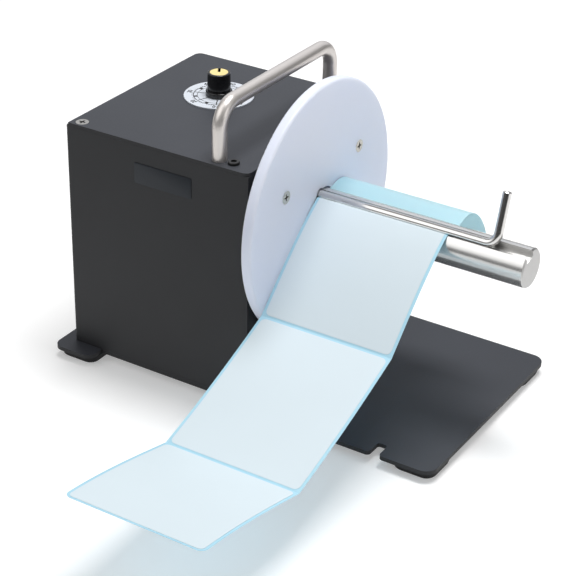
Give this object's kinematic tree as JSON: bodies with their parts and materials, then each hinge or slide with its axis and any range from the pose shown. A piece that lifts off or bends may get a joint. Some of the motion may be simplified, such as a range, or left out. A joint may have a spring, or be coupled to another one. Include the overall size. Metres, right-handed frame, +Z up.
{
  "type": "label rewinder",
  "caption": "Motorised label rewinder: sheet-metal motor box with speed dial and handle, guide disc and grooved spindle with a clamp rod holding a label web.",
  "frame": {"origin": "middle of the bounding box on the table plane, under the feet", "axes": "+X along the spindle to its free end, +Y to the back of the machine, +Z up"},
  "size_m": [0.322, 0.3748, 0.2205],
  "materials": {
    "black_plastic": "gloss",
    "black_steel": "black oxide",
    "board_green": "solder mask",
    "cap_yellow": "matt",
    "cast_alloy": "machined",
    "charcoal_sheet": "satin charcoal powder coat",
    "dial_white": "printed, matt",
    "label_paper": "coated paper",
    "liner_blue": "glazed release paper",
    "pale_disc": "semi-gloss",
    "polished": "polished stainless steel",
    "rubber": "matt",
    "slate_sheet": "satin slate powder coat",
    "stainless": "satin ground stainless steel",
    "zinc": "zinc plated"
  },
  "bodies": {
    "frame": {"base_plate": "charcoal_sheet", "rubber_feet": "rubber", "housing_shell": "charcoal_sheet", "side_plate": "charcoal_sheet", "top_plate": "slate_sheet", "housing_screws": "zinc", "corner_screw_silver": "zinc", "top_cap_screws": "black_steel", "carry_handle": "stainless", "handle_screws": "zinc", "dial_plate": "dial_white", "pot_body": "zinc", "pot_nut": "zinc", "switch_body": "black_plastic", "power_inlet": "black_plastic", "inlet_nut": "zinc", "bearing_housing": "cast_alloy", "front_bearing": "polished", "rear_bearing": "polished", "bearing_screws": "zinc", "gearbox": "zinc", "gear_motor": "zinc", "gearbox_bracket": "zinc", "gearbox_screws": "zinc", "bracket_screws": "zinc", "control_board": "board_green", "board_parts": "black_plastic", "board_standoffs": "zinc", "label_liner": "liner_blue", "labels": "label_paper"},
    "spindle": {"spindle_shaft": "polished", "hub_flange": "zinc", "winding_disc": "pale_disc", "disc_screws": "zinc", "shaft_coupling": "cast_alloy", "coupling_screws": "black_steel", "output_shaft": "polished"},
    "rod": {"clamp_rod": "polished"},
    "knob": {"speed_knob": "black_plastic", "knob_cap": "cap_yellow", "pot_shaft": "zinc"},
    "rocker": {"switch_rocker": "black_plastic"}
  },
  "joints": [
    {"name": "spindle_spin", "type": "hinge", "parent": "frame", "child": "spindle", "pos_m": [0.006, 0.09825, 0.128], "axis": [-1, 0, 0], "continuous": true, "deforming": ["label_liner", "labels"]},
    {"name": "clamp_rod_slide", "type": "slide", "parent": "spindle", "child": "rod", "axis": [1, 0, 0], "range_m": [0, 0.14]},
    {"name": "knob_turn", "type": "hinge", "parent": "frame", "child": "knob", "pos_m": [-0.0915, 0.11675, 0.1803], "axis": [0, 0, 1], "range_deg": [-74, 226]},
    {"name": "switch_rock", "type": "hinge", "parent": "frame", "child": "rocker", "pos_m": [-0.116, 0.17425, 0.061], "axis": [-1, 0, 0], "range_deg": [0, 20]}
  ]
}
